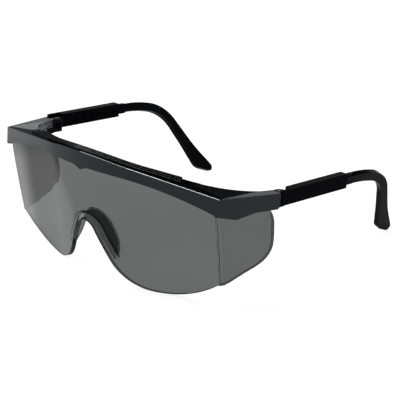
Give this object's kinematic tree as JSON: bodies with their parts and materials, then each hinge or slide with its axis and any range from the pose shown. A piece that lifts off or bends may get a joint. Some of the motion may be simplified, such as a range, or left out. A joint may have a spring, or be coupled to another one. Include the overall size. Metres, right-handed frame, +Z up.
{
  "type": "safety glasses",
  "caption": "Protective glasses with a brow frame, a wrap-round lens with nose saddle and side shields, and folding temples that adjust in length.",
  "frame": {"origin": "on the ground, under the middle of the bounding box, with the glasses standing on the two lens lobes and the two temple tips", "axes": "+X towards the wearer's left, -Y the way the wearer looks, +Z up; YZ is the mirror plane"},
  "size_m": [0.1502, 0.1478, 0.0611],
  "materials": {
    "frame_plastic": "moulded black nylon, glossy",
    "lens_plastic": "grey tinted polycarbonate, polished",
    "temple_plastic": "moulded black nylon, glossy",
    "arm_plastic": "moulded black nylon, satin to glossy",
    "pin_steel": "blackened steel"
  },
  "bodies": {
    "front": {"brow_frame": "frame_plastic", "lens": "lens_plastic", "left_hinge_pin": "pin_steel", "right_hinge_pin": "pin_steel"},
    "left_temple": {"left_temple_sheath": "temple_plastic"},
    "right_temple": {"right_temple_sheath": "temple_plastic"},
    "left_arm": {"left_temple_arm": "arm_plastic"},
    "right_arm": {"right_temple_arm": "arm_plastic"}
  },
  "joints": [
    {"name": "left_fold", "type": "hinge", "parent": "front", "child": "left_temple", "pos_m": [0.071, -0.02404, 0.04593], "axis": [0, 0.0746, 0.9972], "range_deg": [0, 84]},
    {"name": "right_fold", "type": "hinge", "parent": "front", "child": "right_temple", "pos_m": [-0.071, -0.02404, 0.04593], "axis": [0, -0.0746, -0.9972], "range_deg": [0, 90]},
    {"name": "left_length", "type": "slide", "parent": "left_temple", "child": "left_arm", "axis": [0, 0.9972, -0.0746], "range_m": [0, 0.0106]},
    {"name": "right_length", "type": "slide", "parent": "right_temple", "child": "right_arm", "axis": [0, 0.9972, -0.0746], "range_m": [0, 0.0106]}
  ]
}
